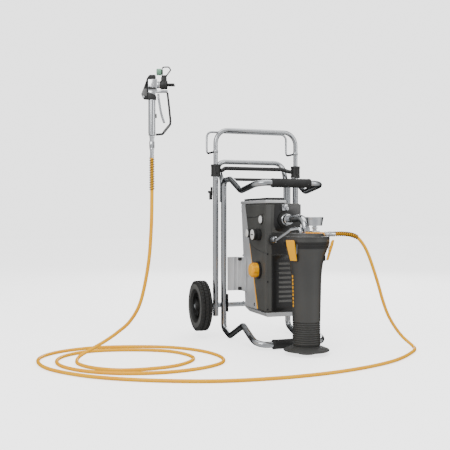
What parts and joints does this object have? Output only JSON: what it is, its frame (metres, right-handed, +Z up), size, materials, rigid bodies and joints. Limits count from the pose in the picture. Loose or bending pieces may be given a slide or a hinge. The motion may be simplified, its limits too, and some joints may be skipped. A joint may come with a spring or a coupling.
{
  "type": "airless paint sprayer",
  "caption": "Airless paint sprayer on a two-wheeled tube trolley, with a pump unit, a latched paint container, a high-pressure hose and a trigger-operated spray gun.",
  "frame": {"origin": "centre of the flat base under the paint container's foot, on the floor", "axes": "+Z up, +Y back towards the trolley's uprights and wheels, +X to the side where the hose leaves the container"},
  "size_m": [1.4734, 1.0381, 1.0747],
  "materials": {
    "tube_steel": "satin steel tube",
    "sheet_steel": "silver-grey coating",
    "machined_steel": "bright machined steel",
    "black_plastic": "fine-grained black",
    "cover_plastic": "fine-grained dark grey",
    "container_plastic": "satin dark grey",
    "yellow_plastic": "satin yellow",
    "tyre_rubber": "matt rubber",
    "hose_jacket": "smooth yellow jacket",
    "motor_iron": "painted dark grey",
    "board_green": "solder resist",
    "needle_black": "matt black"
  },
  "bodies": {
    "root": {"axle": "tube_steel", "bottom_pan": "sheet_steel", "collar_left": "black_plastic", "collar_right": "black_plastic", "container": "container_plastic", "container_lid": "container_plastic", "control_board": "board_green", "cross_brace_lower": "black_plastic", "cross_brace_upper": "black_plastic", "delivery_pipe": "machined_steel", "dip_tube": "machined_steel", "front_cover": "cover_plastic", "hose": "hose_jacket", "hose_ferrule": "machined_steel", "hose_fitting": "machined_steel", "hose_rest": "tube_steel", "lid_ring": "yellow_plastic", "lower_bow": "tube_steel", "lower_grip": "black_plastic", "manifold": "machined_steel", "motor_can": "motor_iron", "pressure_gauge": "machined_steel", "pump_block": "machined_steel", "rear_housing": "sheet_steel", "rear_tube_left": "tube_steel", "rear_tube_right": "tube_steel", "side_bracket_left": "sheet_steel", "side_bracket_right": "sheet_steel", "suction_pipe": "machined_steel", "upper_bow": "tube_steel", "upper_grip": "black_plastic", "upright_left": "tube_steel", "upright_right": "tube_steel"},
    "handle": {"handle": "tube_steel"},
    "lock_button_left": {"lock_button_left": "machined_steel"},
    "lock_button_right": {"lock_button_right": "machined_steel"},
    "wheel_left": {"tyre_left": "tyre_rubber", "wheel_rim_left": "black_plastic"},
    "wheel_right": {"tyre_right": "tyre_rubber", "wheel_rim_right": "black_plastic"},
    "pressure_knob": {"pressure_knob": "yellow_plastic"},
    "relief_knob": {"relief_knob": "black_plastic"},
    "prime_knob": {"prime_knob": "black_plastic"},
    "power_button": {"power_button": "black_plastic"},
    "rotor": {"rotor": "machined_steel"},
    "piston": {"piston": "machined_steel"},
    "latch_left": {"latch_left": "yellow_plastic"},
    "latch_right": {"latch_right": "yellow_plastic"},
    "latch_rear": {"latch_rear": "yellow_plastic"},
    "gauge_needle": {"gauge_needle": "needle_black"},
    "gun": {"swivel_nut": "machined_steel", "gun_handle": "machined_steel", "gun_head": "machined_steel", "gun_rear_cover": "black_plastic", "trigger_guard": "black_plastic"},
    "trigger": {"trigger": "machined_steel"},
    "gun_needle": {"gun_needle": "machined_steel"},
    "trigger_lock": {"trigger_lock": "black_plastic"},
    "tip_guard": {"tip_guard": "black_plastic"},
    "spray_tip": {"spray_tip": "black_plastic"}
  },
  "joints": [
    {"name": "handle_slide", "type": "slide", "parent": "root", "child": "handle", "axis": [0, 0, 1], "range_m": [-0.05, 0]},
    {"name": "lock_button_left_press", "type": "slide", "parent": "root", "child": "lock_button_left", "axis": [0, 1, 0], "range_m": [0, 0.003], "stiffness_N_per_m": 300, "springref_m": -0.002},
    {"name": "lock_button_right_press", "type": "slide", "parent": "root", "child": "lock_button_right", "axis": [0, 1, 0], "range_m": [0, 0.003], "stiffness_N_per_m": 300, "springref_m": -0.002},
    {"name": "wheel_left_spin", "type": "hinge", "parent": "root", "child": "wheel_left", "pos_m": [-0.265, 0.536, 0.136], "axis": [1, 0, 0], "continuous": true},
    {"name": "wheel_right_spin", "type": "hinge", "parent": "root", "child": "wheel_right", "pos_m": [0.255, 0.536, 0.136], "axis": [1, 0, 0], "continuous": true},
    {"name": "pressure_knob_turn", "type": "hinge", "parent": "root", "child": "pressure_knob", "pos_m": [-0.085, 0.286, 0.309], "axis": [1, 0, 0], "range_deg": [-60, 210]},
    {"name": "relief_knob_turn", "type": "hinge", "parent": "root", "child": "relief_knob", "pos_m": [-0.085, 0.2745, 0.459], "axis": [1, 0, 0], "range_deg": [0, 90]},
    {"name": "prime_knob_turn", "type": "hinge", "parent": "root", "child": "prime_knob", "pos_m": [-0.085, 0.361, 0.463], "axis": [1, 0, 0], "range_deg": [0, 90]},
    {"name": "power_button_press", "type": "slide", "parent": "root", "child": "power_button", "axis": [1, 0, 0], "range_m": [0, 0.003], "stiffness_N_per_m": 400, "springref_m": -0.002},
    {"name": "rotor_spin", "type": "hinge", "parent": "root", "child": "rotor", "pos_m": [-0.005, 0.32, 0.25], "axis": [0, 0, 1], "continuous": true},
    {"name": "piston_stroke", "type": "slide", "parent": "root", "child": "piston", "axis": [0, 1, 0], "range_m": [-0.002, 0.002]},
    {"name": "latch_left_swing", "type": "hinge", "parent": "root", "child": "latch_left", "pos_m": [-0.07229, -0.03763, 0.372], "axis": [0.4618, -0.887, 0], "range_deg": [0, 100]},
    {"name": "latch_right_swing", "type": "hinge", "parent": "root", "child": "latch_right", "pos_m": [0.06874, -0.04379, 0.372], "axis": [0.5373, 0.8434, 0], "range_deg": [0, 100]},
    {"name": "latch_rear_swing", "type": "hinge", "parent": "root", "child": "latch_rear", "pos_m": [0.00355, 0.08142, 0.372], "axis": [-0.999, 0.0436, 0], "range_deg": [0, 100]},
    {"name": "gauge_needle_turn", "type": "hinge", "parent": "root", "child": "gauge_needle", "pos_m": [0.034, -0.003, 0.529], "axis": [0, 0, -1], "range_deg": [0, 270], "stiffness_Nm_per_rad": 0.002, "springref_deg": -2.86},
    {"name": "gun_swivel", "type": "hinge", "parent": "root", "child": "gun", "pos_m": [-0.621, -0.0144, 0.8], "axis": [0, 0, 1], "continuous": true},
    {"name": "trigger_pull", "type": "hinge", "parent": "gun", "child": "trigger", "pos_m": [-0.59885, -0.02224, 0.971], "axis": [0.3338, 0.9426, 0], "range_deg": [0, 10], "stiffness_Nm_per_rad": 2, "springref_deg": -5.73},
    {"name": "gun_needle_slide", "type": "slide", "parent": "gun", "child": "gun_needle", "axis": [-0.9426, 0.3338, 0], "range_m": [0, 0.003]},
    {"name": "trigger_lock_turn", "type": "hinge", "parent": "gun", "child": "trigger_lock", "pos_m": [-0.60639, -0.01957, 0.8905], "axis": [-0.3338, -0.9426, 0], "range_deg": [-90, 0]},
    {"name": "tip_guard_turn", "type": "hinge", "parent": "gun", "child": "tip_guard", "pos_m": [-0.59244, -0.02451, 1.008], "axis": [0.9426, -0.3338, 0], "range_deg": [0, 90]},
    {"name": "spray_tip_turn", "type": "hinge", "parent": "tip_guard", "child": "spray_tip", "pos_m": [-0.58047, -0.02875, 1.04], "axis": [0, 0, 1], "range_deg": [0, 180]}
  ],
  "couplings": [
    {"joint": "gun_needle_slide", "follows": "trigger_pull", "m_per_rad": 0.0143}
  ]
}
